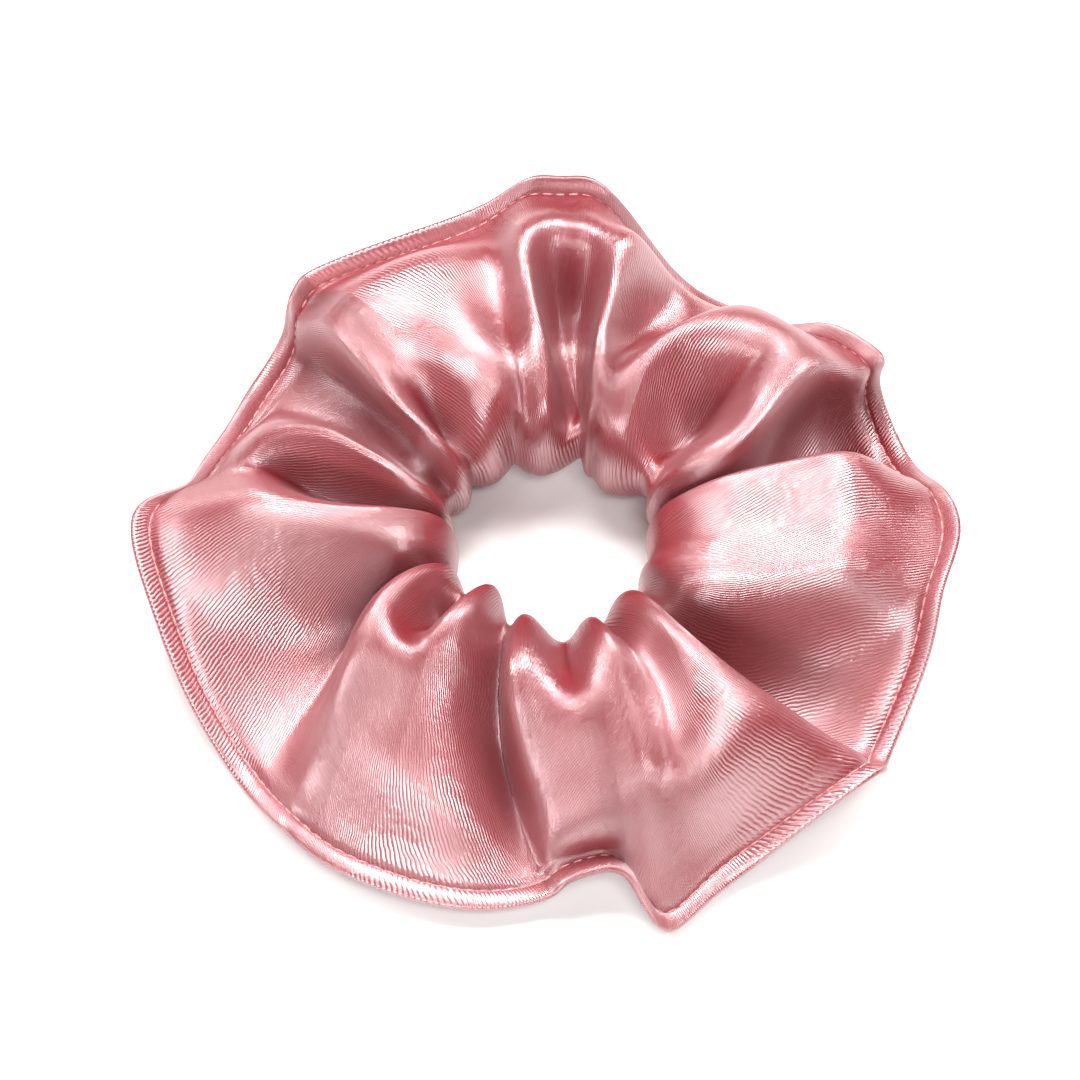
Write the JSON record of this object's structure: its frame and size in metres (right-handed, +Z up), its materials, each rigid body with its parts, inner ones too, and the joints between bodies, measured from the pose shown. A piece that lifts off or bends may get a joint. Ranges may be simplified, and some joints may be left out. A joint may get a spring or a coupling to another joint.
{
  "type": "scrunchie",
  "caption": "Ruffled satin scrunchie: a folded strip of satin with a topstitched outer edge, gathered on a loop of flat elastic.",
  "frame": {"origin": "the table plane under the middle of the object's box, with the ring lying flat", "axes": "+Z up through the hole, +X to the right as the object is seen from its near side, along its longest way and along its stretch"},
  "size_m": [0.1199, 0.1118, 0.0273],
  "materials": {
    "satin": "rose-pink satin weave with a soft directional sheen",
    "elastic": "white braided flat elastic",
    "thread": "spun polyester sewing thread that matches the satin"
  },
  "bodies": {
    "left_half": {"satin_sleeve_left": "satin", "casing_left": "satin", "elastic_left": "elastic", "elastic_join_thread": "thread", "hem_needle_thread_left": "thread", "hem_bobbin_thread_left": "thread", "closing_seam_thread": "thread"},
    "right_half": {"satin_sleeve_right": "satin", "casing_right": "satin", "elastic_right": "elastic", "hem_needle_thread_right": "thread", "hem_bobbin_thread_right": "thread"}
  },
  "joints": [
    {"name": "stretch", "type": "slide", "parent": "left_half", "child": "right_half", "axis": [1, 0, 0], "range_m": [0, 0.06], "stiffness_N_per_m": 30}
  ]
}
